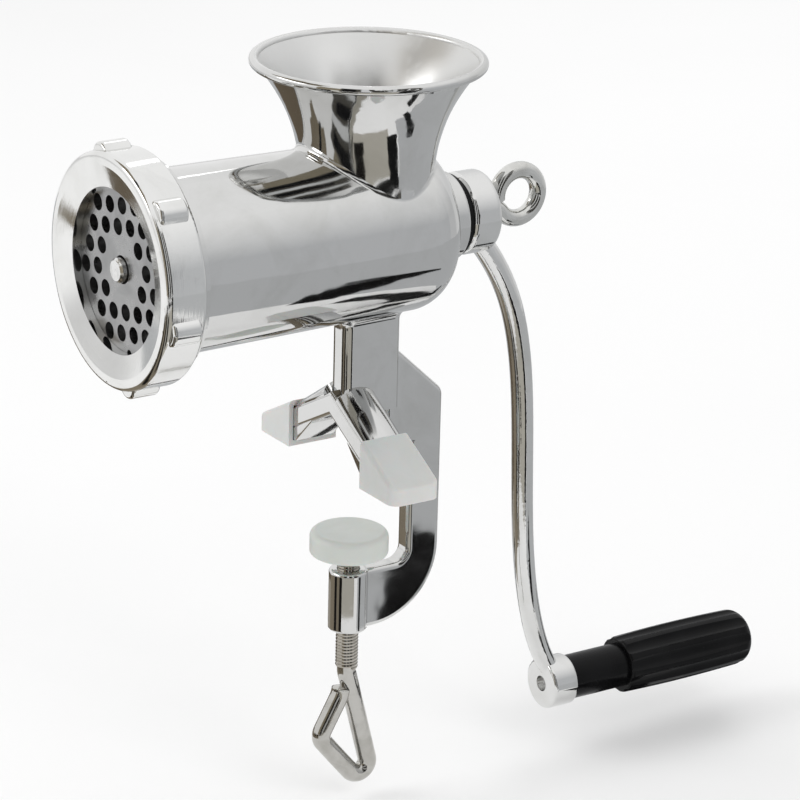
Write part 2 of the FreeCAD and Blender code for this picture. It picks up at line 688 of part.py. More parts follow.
def crank_arm():
    """Curved arm with a square holed upper hub and a lower hub for the grip's axle."""
    hub = hub_solid(BARREL_AXIS, HUB_R, HUB_ROUND, hub_front_y, hub_rear_y)
    pin_hub = hub_solid(PIN_AXIS, PIN_HUB_R, PIN_HUB_ROUND, pin_hub_front_y, pin_hub_rear_y)
    crank = hub.fuse([arm_solid(), pin_hub])
    side = SHAFT_SQUARE + 2 * SQUARE_FIT
    socket = square_bar(side, hub_front_y - OVER, hub_rear_y - SHAFT_SHORT)
    outlet = rod(BARREL_AXIS, EYE_THREAD_R + THREAD_CLEAR, hub_front_y, hub_rear_y)
    hole_r = AXLE_THREAD_R + PIN_FIT
    pin_hole = rod(PIN_AXIS, hole_r, pin_hub_front_y - OVER, pin_hub_rear_y + OVER)
    spot_r = EYE_WASHER_R + SPOT_MARGIN
    spot = rod(BARREL_AXIS, spot_r, hub_rear_y, hub_rear_y + ARM_TOP_DEPTH)
    return crank.cut([socket, outlet, pin_hole, spot])


def grip_axle():
    """Shoulder bolt: thread in the lower hub, plain journal in the grip and a round head."""
    thread_y = pin_hub_front_y + AXLE_SHORT
    head_y = grip_rear_y - AXLE_RECESS + AXLE_WASHER + GRIP_PLAY
    moves = [
        (AXLE_THREAD_R, thread_y), (AXLE_THREAD_R, pin_hub_rear_y), (AXLE_R, pin_hub_rear_y),
        (AXLE_R, head_y), (AXLE_HEAD_R, head_y), (AXLE_HEAD_R, head_y + AXLE_HEAD / 2),
        (AXLE_HEAD_R / 2, head_y + AXLE_HEAD), (0, head_y + AXLE_HEAD),
    ]
    return turned((0, thread_y), moves, PIN_AXIS)


def axle_washer():
    """Washer between the axle's head and the bottom of the grip's recess."""
    start_y = grip_rear_y - AXLE_RECESS + GRIP_PLAY
    ring = rod(PIN_AXIS, AXLE_WASHER_R, start_y, start_y + AXLE_WASHER)
    hole = rod(PIN_AXIS, AXLE_R + PIN_FIT, start_y - OVER, start_y + AXLE_WASHER + OVER)
    return ring.cut(hole)


def grip():
    """Hand grip: plain neck, fluted swelling body, rounded end and a recess for the axle's head."""
    neck_end_y = grip_front_y + COLLAR_NECK
    round_y = grip_rear_y - GRIP_END_ROUND
    middle_y = (neck_end_y + round_y) / 2
    edge_r = GRIP_R - EDGE_ROUND
    edge_y = neck_end_y + EDGE_ROUND
    end_r = GRIP_R - GRIP_END_ROUND
    recess_r = AXLE_WASHER_R + GRIP_PLAY
    recess_y = grip_rear_y - AXLE_RECESS
    moves = [
        (COLLAR_NECK_R, grip_front_y),
        (COLLAR_NECK_R, neck_end_y),
        (edge_r, neck_end_y),
        corner(edge_r, edge_y, EDGE_ROUND, -45) + (GRIP_R, edge_y),
        (GRIP_R + GRIP_SWELL, middle_y, GRIP_R, round_y),
        corner(end_r, round_y, GRIP_END_ROUND, 45) + (end_r, grip_rear_y),
        (0, grip_rear_y),
    ]
    body = turned((0, grip_front_y), moves, PIN_AXIS)
    flute_centre_r = GRIP_R + FLUTE_R - FLUTE_DEPTH
    cuts = [
        rod(PIN_AXIS, AXLE_R + AXLE_FIT, grip_front_y - OVER, grip_rear_y + OVER),
        rod(PIN_AXIS, recess_r, recess_y, grip_rear_y + OVER),
    ]
    for index in range(GRIP_FLUTES):
        angle = math.radians((index + 0.5) * 360.0 / GRIP_FLUTES)
        x = flute_centre_r * math.cos(angle)
        z = pin_height + flute_centre_r * math.sin(angle)
        cuts.append(rod(Vector(x, 0, z), FLUTE_R, neck_end_y - OVER, grip_rear_y + OVER))
    return body.cut(cuts)


def eye_washer():
    """Washer between the crank hub and the eye screw."""
    ring = rod(BARREL_AXIS, EYE_WASHER_R, hub_rear_y, hub_rear_y + EYE_WASHER)
    start_y = hub_rear_y - OVER
    hole = rod(BARREL_AXIS, EYE_THREAD_R + PIN_FIT, start_y, hub_rear_y + EYE_WASHER + OVER)
    return ring.cut(hole)


def pipe(edges, radius):
    """Round rod along a chain of lines and tangent arcs."""
    path = Part.Wire(edges)
    start = path.OrderedEdges[0]
    at = start.valueAt(start.FirstParameter)
    circle = Part.Wire(Part.makeCircle(radius, at, start.tangentAt(start.FirstParameter)))
    return path.makePipeShell([circle], True, False)


def eye_screw():
    """Screw made of bent rod: a threaded stem, a small set and a round open eye."""
    stem_y = hub_rear_y + EYE_WASHER + EYE_STAND
    reach = EYE_NECK_BEND + EYE_BEND_R
    rise = EYE_NECK_BEND + EYE_RISE
    eye_y = stem_y + math.sqrt(reach * reach - rise * rise)
    touch = math.atan2(rise, eye_y - stem_y)

    def neck(angle):
        return Vector(0, stem_y + EYE_NECK_BEND * math.cos(angle),
                      AXIS_HEIGHT - EYE_NECK_BEND + EYE_NECK_BEND * math.sin(angle))

    def eye(angle):
        return Vector(0, eye_y + EYE_BEND_R * math.cos(angle),
                      AXIS_HEIGHT + EYE_RISE + EYE_BEND_R * math.sin(angle))

    start_turn = touch + math.pi
    end_turn = 2 * math.pi + math.radians(EYE_END)
    stem_start = Vector(0, hub_rear_y + EYE_WASHER, AXIS_HEIGHT)
    edges = [
        Part.makeLine(stem_start, neck(math.pi / 2)),
        Part.Arc(neck(math.pi / 2), neck((math.pi / 2 + touch) / 2), neck(touch)).toShape(),
        Part.Arc(neck(touch), eye((start_turn + end_turn) / 2), eye(end_turn)).toShape(),
    ]
    thread = rod(BARREL_AXIS, EYE_THREAD_R, hub_rear_y - EYE_THREAD, hub_rear_y + EYE_WASHER)
    return pipe(edges, EYE_ROD_R).fuse(thread)


def rounded_path(points, radii):
    """Lines through points in the X = 0 plane, with a tangent arc at each inner point."""
    edges = []
    here = points[0]
    for point, after, radius in zip(points[1:-1], points[2:], radii):
        back = (here - point).normalize()
        on = (after - point).normalize()
        half = back.getAngle(on) / 2
        start = point + back * (radius / math.tan(half))
        end = point + on * (radius / math.tan(half))
        inward = (back + on).normalize()
        middle = point + inward * (radius / math.sin(half) - radius)
        edges.append(Part.makeLine(here, start))
        edges.append(Part.Arc(start, middle, end).toShape())
        here = end
    edges.append(Part.makeLine(here, points[-1]))
    return edges


def clamp_screw():
    """Clamp screw: a threaded rod with a peened tip and a handle bent into a loop."""
    loop = [Vector(0, y, screw_end_z - drop) for y, drop in (LOOP_LOW, LOOP_FRONT, LOOP_END)]
    points = [Vector(0, 0, screw_end_z + LOOP_TOP_BEND), Vector(0, 0, screw_end_z)] + loop
    handle = pipe(rounded_path(points, (LOOP_TOP_BEND, LOOP_BEND, LOOP_BEND)), LOOP_ROD_R)
    head_z = disc_top_z + RUN_GAP
    moves = [
        (SCREW_R, screw_end_z + LOOP_TOP_BEND / 2),
        (SCREW_R, screw_top_z),
        (TIP_R, screw_top_z),
        (TIP_R, head_z - RUN_GAP / 2),
        (TIP_HEAD_R, head_z - RUN_GAP / 2),
        (TIP_HEAD_R, head_z + TIP_HEAD / 2),
        (TIP_R, head_z + TIP_HEAD - RUN_GAP),
        (0, head_z + TIP_HEAD - RUN_GAP),
    ]
    return handle.fuse(turned_up((0, screw_end_z + LOOP_TOP_BEND / 2), moves))


def clamp_disc():
    """Swivel disc on the screw's tip."""
    ring = post(DISC_R, disc_bottom_z, disc_top_z)
    return ring.cut(post(TIP_R + RUN_GAP, disc_bottom_z - OVER, disc_top_z + OVER))


def clamp_pad():
    """Pad pushed over the swivel disc, with rounded edges and a recess below."""
    top_z = -PAD_TOP
    edge_r = PAD_R - PAD_EDGE
    low_edge = PAD_EDGE / 2
    low_r = PAD_R - low_edge
    low_z = pad_bottom_z + low_edge
    recess_r = DISC_R + PIN_FIT
    moves = [
        (edge_r, top_z),
        corner(edge_r, top_z - PAD_EDGE, PAD_EDGE, 45) + (PAD_R, top_z - PAD_EDGE),
        (PAD_R, low_z),
        corner(low_r, low_z, low_edge, -45) + (low_r, pad_bottom_z),
        (DISC_NECK_R, pad_bottom_z),
        (DISC_NECK_R, disc_bottom_z),
        (recess_r, disc_bottom_z),
        (recess_r, disc_top_z),
        (TIP_HEAD_R + RUN_GAP, disc_top_z),
        (TIP_HEAD_R + RUN_GAP, top_z - PAD_FACE),
        (0, top_z - PAD_FACE),
    ]
    return turned_up((0, top_z), moves)


NODES = {
    "body_casting": body_casting,
    "rear_bush": rear_bush,
    "thrust_washer": thrust_washer,
    "plate_key_pin": plate_key_pin,
    "foot_cap_left": lambda: foot_cap(-1),
    "foot_cap_right": lambda: foot_cap(1),
    "auger": auger,
    "auger_stud": auger_stud,
    "knife": knife,
    "crank_arm": crank_arm,
    "grip_axle": grip_axle,
    "axle_washer": axle_washer,
    "grip": grip,
    "eye_washer": eye_washer,
    "eye_screw": eye_screw,
    "grinding_plate": grinding_plate,
    "ring_nut": ring_nut,
    "clamp_screw": clamp_screw,
    "clamp_disc": clamp_disc,
    "clamp_pad": clamp_pad,
}

os.makedirs("parts", exist_ok=True)
for name, make in NODES.items():
    shape = make()
    shape.exportStep("parts/" + name + ".step")
    box = shape.BoundBox
    print(name, shape.isValid(), len(shape.Solids), round(shape.Volume), round(box.XLength, 1),
          round(box.YLength, 1), round(box.ZLength, 1))
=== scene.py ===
import math

import bmesh
import bpy
from mathutils import Matrix, Vector


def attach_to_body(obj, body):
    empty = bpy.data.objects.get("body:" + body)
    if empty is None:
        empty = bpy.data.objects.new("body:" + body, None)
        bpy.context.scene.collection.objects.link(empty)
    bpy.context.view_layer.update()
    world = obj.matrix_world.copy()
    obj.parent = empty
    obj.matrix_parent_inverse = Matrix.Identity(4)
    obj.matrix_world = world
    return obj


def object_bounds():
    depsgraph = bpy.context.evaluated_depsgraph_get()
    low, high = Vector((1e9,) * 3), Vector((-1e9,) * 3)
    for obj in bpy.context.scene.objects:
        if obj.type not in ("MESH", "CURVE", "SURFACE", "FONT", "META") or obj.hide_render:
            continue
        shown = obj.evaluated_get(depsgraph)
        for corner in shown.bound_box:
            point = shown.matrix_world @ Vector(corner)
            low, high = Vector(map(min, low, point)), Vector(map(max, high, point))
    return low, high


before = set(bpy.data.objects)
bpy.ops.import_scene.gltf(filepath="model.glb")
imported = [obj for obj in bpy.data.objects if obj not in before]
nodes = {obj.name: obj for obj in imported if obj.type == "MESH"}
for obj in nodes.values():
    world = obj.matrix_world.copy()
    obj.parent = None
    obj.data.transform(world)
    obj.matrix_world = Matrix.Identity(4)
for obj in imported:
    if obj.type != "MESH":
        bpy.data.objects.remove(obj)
cad_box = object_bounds()

# Axes of the round pieces, in metres
BARREL_AXIS = (0.0, 0.0, 0.0872)
HOPPER_AXIS = (0.0, 0.0038, 0.0)
GRIP_AXIS = (0.0, 0.0, -0.1068)
KEY_PIN_AXIS = (0.0054, 0.0, 0.0583)
CLAMP_AXIS = (0.0, 0.0, 0.0)

# Threads: core radius, crest radius, pitch and the stretch that is cut
CLAMP_THREAD = dict(core=0.0040, crest=0.00419, pitch=0.00125, low=-0.0800, high=-0.0370)
EYE_THREAD = dict(core=0.0030, crest=0.00317, pitch=0.0010, low=0.0445, high=0.0530)
SPIGOT_THREAD = dict(core=0.0360, crest=0.03622, pitch=0.0030, low=-0.0915, high=-0.0850)
THREAD_HALF = 0.45        # half of a ridge's foot, as a share of the pitch
THREAD_STEPS = 40         # faces round one turn

# Rod ends: middle and radius of the bend, radius of the rod, and the angles that the bend runs between
EYE_END = dict(centre=(0.0, 0.06875, 0.0908), bend=0.0090, rod=0.0031, first=137.0, last=191.0)
LOOP_END = dict(centre=(0.0, -0.01398, -0.08695), bend=0.0120, rod=0.0035, first=-29.16, last=-6.0)
ROD_END_ROUND = 0.0010

# Foot arms, measured out from the column's middle and up from the table's top
YOKE_MIDDLE = -0.0015     # along the barrel
YOKE_TOP = 0.0285
YOKE_SLOPE = 0.54
YOKE_WIDTH = 0.0160
ARM_OUT = 0.0245
ARM_UP = 0.0087
ARM_SIZE = (0.0250, 0.0163, 0.0130)
ARM_TOP_CUT = 0.0205      # height of the upper cut at the column's middle
ARM_FOOT_CUT = (0.0225, 0.0022)
ARM_FOOT_STEEPNESS = 1.15
ARM_EDGE = 0.0014
BACK_START = 0.0040
BACK_END = 0.0238
BACK_RISE = 0.0046
BACK_LOW_SHARE = 0.42     # height at the cap's mouth, as a share of the height at the column
BACK_SINK = 0.0004
BACK_EDGE = 0.0005

# Finishes: tints that a colour is multiplied by, the satin wall inside the hopper, and handled plastic
BRIGHT_TINT = (1.0, 1.0, 0.99)
WORN_TINT = (0.91, 0.91, 0.89)
GROUND_TINT = (1.12, 1.12, 1.12)
DULLED_TINT = (0.86, 0.87, 0.88)
USED_TINT = (0.93, 0.93, 0.91)
SATIN_COLOUR = (0.68, 0.68, 0.672)
SATIN_ROUGH = 0.27
SATIN_FROM = 0.108        # heights between which the satin sets in
SATIN_FULL = 0.114
HANDLED_ROUGH = 0.13      # how much rougher black plastic gets in the hand

# Studio: the floor lies below the grinder, and a card with a shorter reach lies higher over it
FLOOR_DROP = 0.0065
FLOOR_HEIGHT = cad_box[0][2] - FLOOR_DROP
FLOOR_SIZE = 60.0
LIGHT_LEVEL = 0.75        # strength of the surround as light, where mirrors and the camera see 1
CARD_CENTRE = 0.10        # height from which bearings and rises are taken
CARD_LIFT = 0.0035        # height of the longest floor card over the floor
CARD_LONGEST = 0.96       # its reach
CARD_STACKING = 0.05      # how much higher a card lies for each metre less of reach
CARD_WHITE = (0.98, 0.98, 0.98)
WALL_FADE = (0.25, 0.85)  # heights between which a wall pales to white
NO_FADE = (2.0, 3.0)      # heights above every card


# Shader helpers

def lay(tree, kind, inputs=None, **settings):
    """Adds a node, sets it, and wires or fills its inputs."""
    made = tree.nodes.new(kind)
    for label, value in settings.items():
        setattr(made, label, value)
    for label, value in (inputs or {}).items():
        if isinstance(value, bpy.types.NodeSocket):
            tree.links.new(value, made.inputs[label])
        else:
            made.inputs[label].default_value = value
    return made


def reckon(tree, operation, first, second):
    """One sum on two values."""
    return lay(tree, "ShaderNodeMath", {0: first, 1: second}, operation=operation).outputs[0]


def reckon_vector(tree, operation, *inputs):
    """One sum on one or two vectors."""
    return lay(tree, "ShaderNodeVectorMath", dict(enumerate(inputs)), operation=operation).outputs


def weigh(tree, first, first_share, second, second_share):
    """Two values added by their shares."""
    first_part = reckon(tree, "MULTIPLY", first, first_share)
    second_part = reckon(tree, "MULTIPLY", second, second_share)
    return reckon(tree, "ADD", first_part, second_part)


def spread(tree, value, low, high, to_low=0.0, to_high=1.0):
    """A value stretched from one range to another and held inside it."""
    inputs = {"Value": value, "From Min": low, "From Max": high, "To Min": to_low, "To Max": to_high}
    return lay(tree, "ShaderNodeMapRange", inputs).outputs["Result"]


def between(tree, mask, low, high):
    """A value that a mask takes from one end to the other."""
    return spread(tree, mask, 0.0, 1.0, low, high)


def noise_over(tree, vector, scale, detail, **more):
    """A noise that follows a vector."""
    inputs = {"Vector": vector, "Scale": scale, "Detail": detail, **more}
    return lay(tree, "ShaderNodeTexNoise", inputs).outputs[0]


def mix_colour(tree, share, first, second):
    """Two colours mixed by a mask."""
    made = lay(tree, "ShaderNodeMix", {0: share, 6: first, 7: second}, data_type="RGBA")
    return made.outputs[2]


def opaque(colour, tint=(1.0, 1.0, 1.0)):
    """A colour times a tint, with full cover."""
    return tuple(part * share for part, share in zip(colour, tint)) + (1.0,)


def grey(shade):
    """A colour with three equal parts."""
    return (shade, shade, shade)


def start_group(name, control, value, outputs):
    """An effect that several finishes share, with a vector and one control coming in."""
    group = bpy.data.node_groups.new(name, "ShaderNodeTree")
    group.interface.new_socket("Vector", in_out="INPUT", socket_type="NodeSocketVector")
    socket = group.interface.new_socket(control, in_out="INPUT", socket_type="NodeSocketFloat")
    socket.default_value = value
    for label in outputs:
        group.interface.new_socket(label, in_out="OUTPUT", socket_type="NodeSocketFloat")
    entry = group.nodes.new("NodeGroupInput")
    leave = group.nodes.new("NodeGroupOutput")
    return group, entry.outputs, leave.inputs


def use_group(tree, group, **inputs):
    """Places a shared effect in a finish with its own values."""
    return lay(tree, "ShaderNodeGroup", inputs, node_tree=group).outputs


# Shared effects

def make_polish_ripple():
    """The slow waves that a polishing wheel leaves on a casting, with closer ones over them."""
    closer = 3.1
    closer_share = 0.18
    group, entry, leave = start_group("polish_ripple", "Waves", 30.0, ["Height"])
    finer = reckon(group, "MULTIPLY", entry["Waves"], closer)
    broad = noise_over(group, entry["Vector"], entry["Waves"], detail=1.0)
    close = noise_over(group, entry["Vector"], finer, detail=1.0)
    small = reckon(group, "MULTIPLY", close, closer_share)
    group.links.new(reckon(group, "ADD", broad, small), leave["Height"])
    return group


def make_fine_scratches():
    """Hair scratches that run in two crossing directions."""
    turns = ((0.3, 0.5, 0.2), (1.1, -0.4, 1.3))
    stretch = (1.0, 0.02, 0.35)
    group, entry, leave = start_group("fine_scratches", "Closeness", 900.0, ["Mask"])
    lines = []
    for turn in turns:
        inputs = {"Vector": entry["Vector"], "Rotation": turn, "Scale": stretch}
        turned = lay(group, "ShaderNodeMapping", inputs).outputs[0]
        noise = noise_over(group, turned, entry["Closeness"], detail=2.0)
        lines.append(spread(group, noise, low=0.62, high=0.72))
    group.links.new(reckon(group, "MAXIMUM", lines[0], lines[1]), leave["Mask"])
    return group


def make_handling_film():
    """Faint patches where hands and washing have dulled the shine."""
    group, entry, leave = start_group("handling_film", "Patches", 55.0, ["Mask"])
    noise = noise_over(group, entry["Vector"], entry["Patches"], detail=5.0, Roughness=0.6, Distortion=0.5)
    group.links.new(spread(group, noise, low=0.44, high=0.70), leave["Mask"])
    return group


def make_moulded_grain():
    """The fine tooth of a mould or a casting, and the slow cloud of its tone."""
    slower = 0.05
    group, entry, leave = start_group("moulded_grain", "Fineness", 2200.0, ["Height", "Tone"])
    broader = reckon(group, "MULTIPLY", entry["Fineness"], slower)
    tooth = noise_over(group, entry["Vector"], entry["Fineness"], detail=3.0)
    cloud = noise_over(group, entry["Vector"], broader, detail=2.0)
    group.links.new(tooth, leave["Height"])
    group.links.new(spread(group, cloud, low=0.35, high=0.65), leave["Tone"])
    return group


def make_turned_rings():
    """Tool marks round the Z axis of the vector that comes in, on its ends and along its length."""
    along_share = 0.37
    group, entry, leave = start_group("turned_rings", "Rings", 2500.0, ["Height"])
    parts = lay(group, "ShaderNodeSeparateXYZ", {0: entry["Vector"]}).outputs
    flat = lay(group, "ShaderNodeCombineXYZ", {0: parts[0], 1: parts[1]}).outputs[0]
    reach = reckon_vector(group, "LENGTH", flat)["Value"]
    along = reckon(group, "MULTIPLY", parts[2], along_share)
    place = reckon(group, "MULTIPLY", reckon(group, "ADD", reach, along), entry["Rings"])
    inputs = {"W": place, "Scale": 1.0, "Detail": 1.0}
    noise = lay(group, "ShaderNodeTexNoise", inputs, noise_dimensions="1D").outputs[0]
    group.links.new(noise, leave["Height"])
    return group


RIPPLE = make_polish_ripple()
SCRATCHES = make_fine_scratches()
FILM = make_handling_film()
GRAIN = make_moulded_grain()
RINGS = make_turned_rings()


# Finishes

def start_finish(name, metallic, **constant):
    """A material with its shader and the piece's own coordinates."""
    finish = bpy.data.materials.new(name)
    finish.use_nodes = True
    tree = finish.node_tree
    shader = tree.nodes["Principled BSDF"]
    shader.inputs["Metallic"].default_value = metallic
    for label, value in constant.items():
        shader.inputs[label.replace("_", " ")].default_value = value
    place = lay(tree, "ShaderNodeTexCoord").outputs["Object"]
    return finish, tree, shader, place


def feed(tree, shader, colour, rough):
    """Feeds a colour and a roughness to the shader."""
    tree.links.new(colour, shader.inputs["Base Color"])
    tree.links.new(rough, shader.inputs["Roughness"])


def press(tree, shader, height, depth, strength=1.0):
    """Feeds a height to the shader's normal."""
    bump = lay(tree, "ShaderNodeBump", {"Height": height, "Distance": depth, "Strength": strength})
    tree.links.new(bump.outputs[0], shader.inputs["Normal"])


def worn_rough(tree, film, lines, start, by_film, by_lines):
    """A roughness that grows under the film and along the scratches."""
    return reckon(tree, "ADD", weigh(tree, film, by_film, lines, by_lines), start)


def turned_place(tree, place, axis, lies_along_y=True):
    """Coordinates with Z on a round piece's own axis."""
    turn = (math.radians(90), 0.0, 0.0) if lies_along_y else (0.0, 0.0, 0.0)
    inputs = {"Vector": place, "Location": axis, "Rotation": turn}
    return lay(tree, "ShaderNodeMapping", inputs, vector_type="TEXTURE").outputs[0]


def hopper_inside(tree, place):
    """A mask of the hopper's inner wall, which faces its own axis."""
    normal = lay(tree, "ShaderNodeTexCoord").outputs["Normal"]
    away = reckon_vector(tree, "SUBTRACT", place, HOPPER_AXIS)["Vector"]
    flat = reckon_vector(tree, "MULTIPLY", away, (1.0, 1.0, 0.0))["Vector"]
    radial = reckon_vector(tree, "NORMALIZE", flat)["Vector"]
    facing = reckon_vector(tree, "DOT_PRODUCT", radial, normal)["Value"]
    inward = spread(tree, facing, low=-0.05, high=-0.35)
    height = lay(tree, "ShaderNodeSeparateXYZ", {0: place}).outputs[2]
    return reckon(tree, "MULTIPLY", inward, spread(tree, height, SATIN_FROM, SATIN_FULL))


def polished_steel(name, waves, depth, dull, shade, satin_hopper=False):
    """Mirror polished stainless steel, slightly waved and handled."""
    finish, tree, shader, place = start_finish(name, metallic=1.0)
    film = use_group(tree, FILM, Vector=place, Patches=48.0)["Mask"]
    lines = use_group(tree, SCRATCHES, Vector=place, Closeness=760.0)["Mask"]
    waved = use_group(tree, RIPPLE, Vector=place, Waves=waves)["Height"]
    colour = mix_colour(tree, film, opaque(grey(shade), BRIGHT_TINT), opaque(grey(shade), WORN_TINT))
    rough = worn_rough(tree, film, lines, start=0.05, by_film=dull, by_lines=0.05)
    if satin_hopper:
        inside = hopper_inside(tree, place)
        colour = mix_colour(tree, inside, colour, opaque(SATIN_COLOUR))
        rough = reckon(tree, "ADD", rough, reckon(tree, "MULTIPLY", inside, SATIN_ROUGH))
    feed(tree, shader, colour, rough)
    press(tree, shader, waved, depth)
    return finish


def ring_steel(name):
    """Polished steel with faint turning marks on its faces."""
    finish, tree, shader, place = start_finish(name, metallic=1.0)
    marks = use_group(tree, RINGS, Vector=turned_place(tree, place, BARREL_AXIS), Rings=2600.0)["Height"]
    film = use_group(tree, FILM, Vector=place, Patches=60.0)["Mask"]
    lines = use_group(tree, SCRATCHES, Vector=place, Closeness=820.0)["Mask"]
    colour = mix_colour(tree, film, opaque((0.79, 0.79, 0.78)), opaque((0.72, 0.72, 0.706)))
    feed(tree, shader, colour, worn_rough(tree, film, lines, start=0.08, by_film=0.08, by_lines=0.05))
    press(tree, shader, marks, depth=0.000012, strength=0.5)
    return finish


def cutter_steel(name, shade, rings):
    """Ground tool steel with rings from the grinding wheel."""
    finish, tree, shader, place = start_finish(name, metallic=1.0)
    marks = use_group(tree, RINGS, Vector=turned_place(tree, place, BARREL_AXIS), Rings=rings)["Height"]
    film = use_group(tree, FILM, Vector=place, Patches=75.0)["Mask"]
    share = weigh(tree, film, 0.6, marks, 0.4)
    colour = mix_colour(tree, share, opaque(grey(shade), GROUND_TINT), opaque(grey(shade), DULLED_TINT))
    feed(tree, shader, colour, between(tree, film, low=0.27, high=0.40))
    press(tree, shader, marks, depth=0.00003, strength=0.6)
    return finish


def worm_steel(name):
    """Satin cast steel with the tooth of its mould."""
    finish, tree, shader, place = start_finish(name, metallic=1.0)
    grain = use_group(tree, GRAIN, Vector=place, Fineness=900.0)
    film = use_group(tree, FILM, Vector=place, Patches=40.0)["Mask"]
    colour = mix_colour(tree, grain["Tone"], opaque((0.56, 0.565, 0.57)), opaque((0.66, 0.665, 0.66)))
    feed(tree, shader, colour, between(tree, film, low=0.30, high=0.46))
    press(tree, shader, grain["Height"], depth=0.00008, strength=0.6)
    return finish


def bright_steel(name, axis, lies_along_y=True):
    """Turned bright steel, with its tool marks round its own axis."""
    finish, tree, shader, place = start_finish(name, metallic=1.0)
    turned = turned_place(tree, place, axis, lies_along_y)
    marks = use_group(tree, RINGS, Vector=turned, Rings=5200.0)["Height"]
    film = use_group(tree, FILM, Vector=place, Patches=160.0)["Mask"]
    colour = mix_colour(tree, film, opaque((0.74, 0.74, 0.735)), opaque((0.63, 0.63, 0.62)))
    feed(tree, shader, colour, between(tree, film, low=0.16, high=0.30))
    press(tree, shader, marks, depth=0.00002, strength=0.7)
    return finish


def rod_steel(name, bright, dull):
    """Bent polished rod with drawing streaks."""
    finish, tree, shader, place = start_finish(name, metallic=1.0)
    lines = use_group(tree, SCRATCHES, Vector=place, Closeness=1500.0)["Mask"]
    film = use_group(tree, FILM, Vector=place, Patches=110.0)["Mask"]
    waved = use_group(tree, RIPPLE, Vector=place, Waves=130.0)["Height"]
    colour = mix_colour(tree, film, opaque(bright), opaque(dull))
    feed(tree, shader, colour, worn_rough(tree, film, lines, start=0.09, by_film=0.10, by_lines=0.10))
    press(tree, shader, waved, depth=0.00012)
    return finish


def white_plastic(name, clean):
    """Soft white moulded plastic that lets a little light in."""
    soft = dict(IOR=1.46, Subsurface_Weight=0.18, Subsurface_Scale=0.004)
    finish, tree, shader, place = start_finish(name, metallic=0.0, **soft)
    grain = use_group(tree, GRAIN, Vector=place, Fineness=1800.0)
    film = use_group(tree, FILM, Vector=place, Patches=70.0)["Mask"]
    share = weigh(tree, film, 0.6, grain["Tone"], 0.25)
    colour = mix_colour(tree, share, opaque(clean), opaque(clean, USED_TINT))
    feed(tree, shader, colour, between(tree, film, low=0.32, high=0.44))
    press(tree, shader, grain["Height"], depth=0.00004, strength=0.5)
    return finish


def black_plastic(name, rough):
    """Semi gloss black moulded plastic, rougher where it is handled."""
    finish, tree, shader, place = start_finish(name, metallic=0.0, IOR=1.5, Specular_IOR_Level=0.12)
    grain = use_group(tree, GRAIN, Vector=place, Fineness=1500.0)
    film = use_group(tree, FILM, Vector=place, Patches=90.0)["Mask"]
    lines = use_group(tree, SCRATCHES, Vector=place, Closeness=700.0)["Mask"]
    share = weigh(tree, lines, 0.35, grain["Tone"], 0.4)
    colour = mix_colour(tree, share, opaque((0.003, 0.003, 0.0033)), opaque((0.009, 0.009, 0.0095)))
    feed(tree, shader, colour, between(tree, film, low=rough, high=rough + HANDLED_ROUGH))
    press(tree, shader, grain["Height"], depth=0.00005, strength=0.6)
    return finish


CASTING = polished_steel(
    "polished_casting", waves=26.0, depth=0.00042, dull=0.05, shade=0.68, satin_hopper=True
)
RING = ring_steel("polished_ring")
ROD = rod_steel("polished_rod", bright=(0.52, 0.51, 0.485), dull=(0.41, 0.40, 0.37))
EYE = rod_steel("polished_eye", bright=(0.70, 0.70, 0.68), dull=(0.58, 0.575, 0.55))
THREAD = rod_steel("rubbed_thread", bright=(0.42, 0.395, 0.35), dull=(0.29, 0.265, 0.225))
FINISHES = {
    "body_casting": CASTING,
    "crank_arm": polished_steel("polished_crank", waves=40.0, depth=0.00022, dull=0.07, shade=0.74),
    "ring_nut": RING,
    "auger": worm_steel("satin_worm"),
    "knife": cutter_steel("ground_knife", shade=0.50, rings=1900.0),
    "grinding_plate": cutter_steel("ground_plate", shade=0.35, rings=1500.0),
    "auger_stud": bright_steel("turned_stud", BARREL_AXIS),
    "plate_key_pin": bright_steel("turned_key_pin", KEY_PIN_AXIS),
    "eye_washer": bright_steel("turned_eye_washer", BARREL_AXIS),
    "grip_axle": bright_steel("turned_axle", GRIP_AXIS),
    "axle_washer": bright_steel("turned_axle_washer", GRIP_AXIS),
    "clamp_disc": bright_steel("turned_disc", CLAMP_AXIS, lies_along_y=False),
    "eye_screw": EYE,
    "clamp_screw": ROD,
    "foot_cap_left": white_plastic("white_boot", clean=(0.67, 0.68, 0.67)),
    "foot_cap_right": white_plastic("white_boot_right", clean=(0.67, 0.68, 0.67)),
    "clamp_pad": white_plastic("white_pad", clean=(0.62, 0.65, 0.62)),
    "thrust_washer": white_plastic("natural_nylon", clean=(0.76, 0.74, 0.66)),
    "rear_bush": black_plastic("black_bush", rough=0.30),
    "grip": black_plastic("black_grip", rough=0.17),
}
for name, finish in FINISHES.items():
    mesh = nodes[name].data
    mesh.materials.clear()
    mesh.materials.append(finish)


# Helpers for new pieces

def face_outwards():
    """Turns the faces of the closed mesh in edit mode outwards, and leaves edit mode."""
    bpy.ops.mesh.select_all(action="SELECT")
    bpy.ops.mesh.normals_make_consistent(inside=False)
    # On a piece of a few millimetres the operator can miss, and the volume is then below zero
    if bmesh.from_edit_mesh(bpy.context.object.data).calc_volume(signed=True) < 0.0:
        bpy.ops.mesh.flip_normals()
    bpy.ops.object.mode_set(mode="OBJECT")


def settle():
    """Puts the active piece's place, turn and size in its mesh."""
    bpy.ops.object.transform_apply(location=True, rotation=True, scale=True)


def smooth(sharpest):
    """Smooths the active piece, apart from edges sharper than an angle in degrees."""
    bpy.ops.object.shade_smooth_by_angle(angle=math.radians(sharpest))


